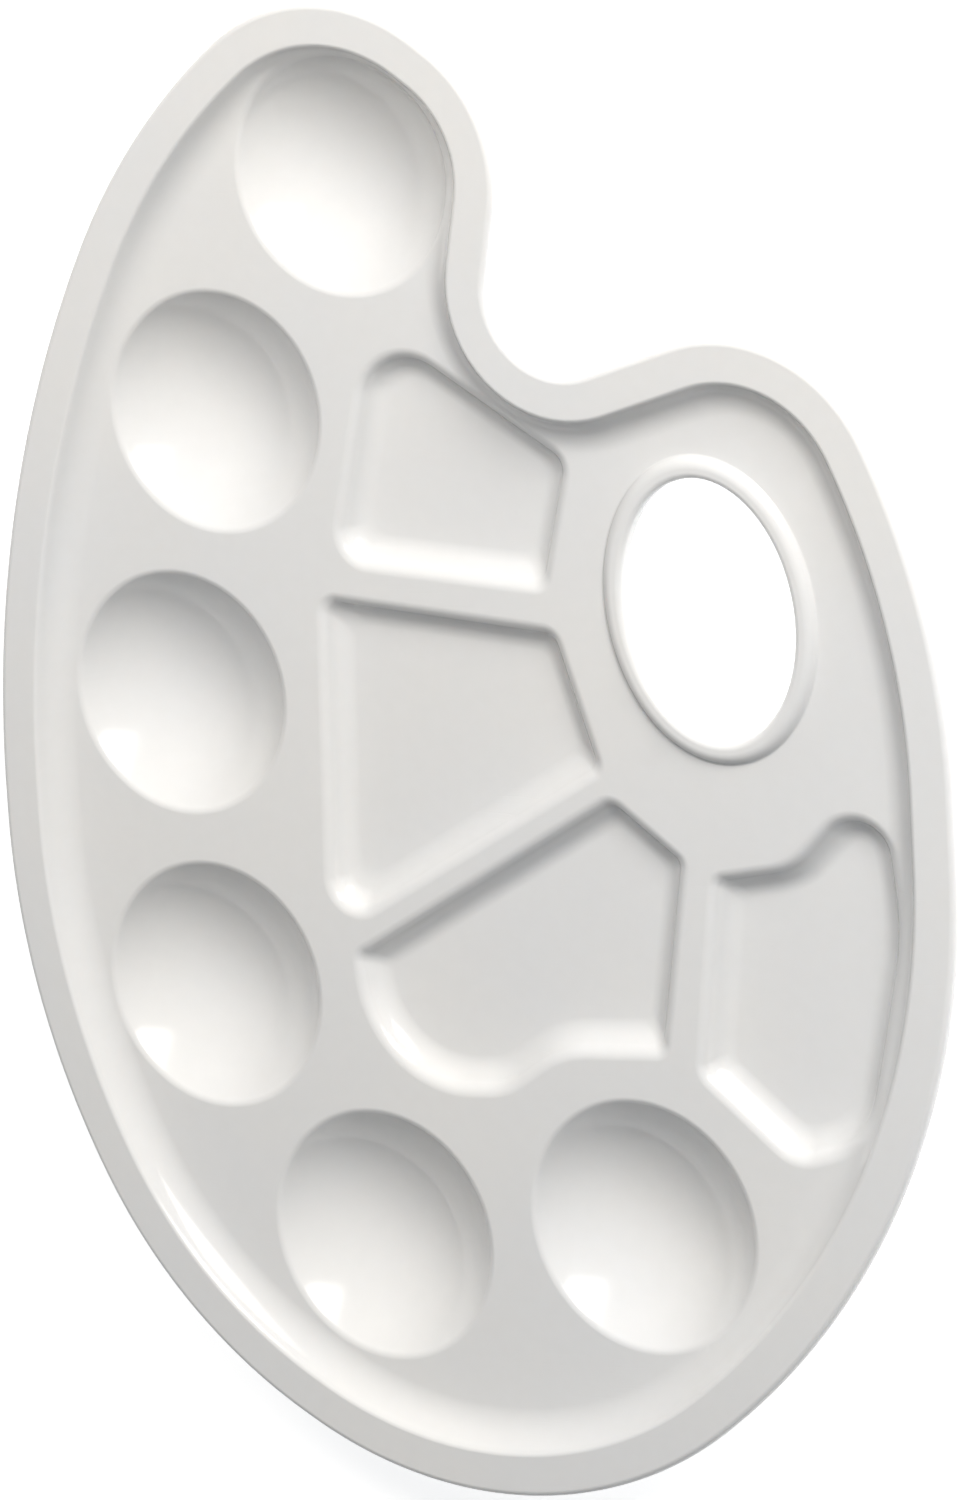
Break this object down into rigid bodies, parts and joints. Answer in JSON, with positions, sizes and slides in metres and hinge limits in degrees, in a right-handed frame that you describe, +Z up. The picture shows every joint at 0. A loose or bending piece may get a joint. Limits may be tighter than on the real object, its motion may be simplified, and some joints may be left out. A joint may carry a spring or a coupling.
{
  "type": "mixing palette",
  "caption": "Oval moulded plastic palette with a raised rim, round paint bowls, shallow mixing wells and a beaded thumb hole.",
  "frame": {"origin": "middle of the palette's footprint, on the surface that it rests on", "axes": "+Y along the palette's long side towards the end with the thumb notch, +X towards the thumb hole, +Z up out of the bowls"},
  "size_m": [0.1678, 0.23, 0.0138],
  "materials": {
    "palette_plastic": "glossy white"
  },
  "bodies": {
    "root": {"palette": "palette_plastic"}
  },
  "joints": []
}
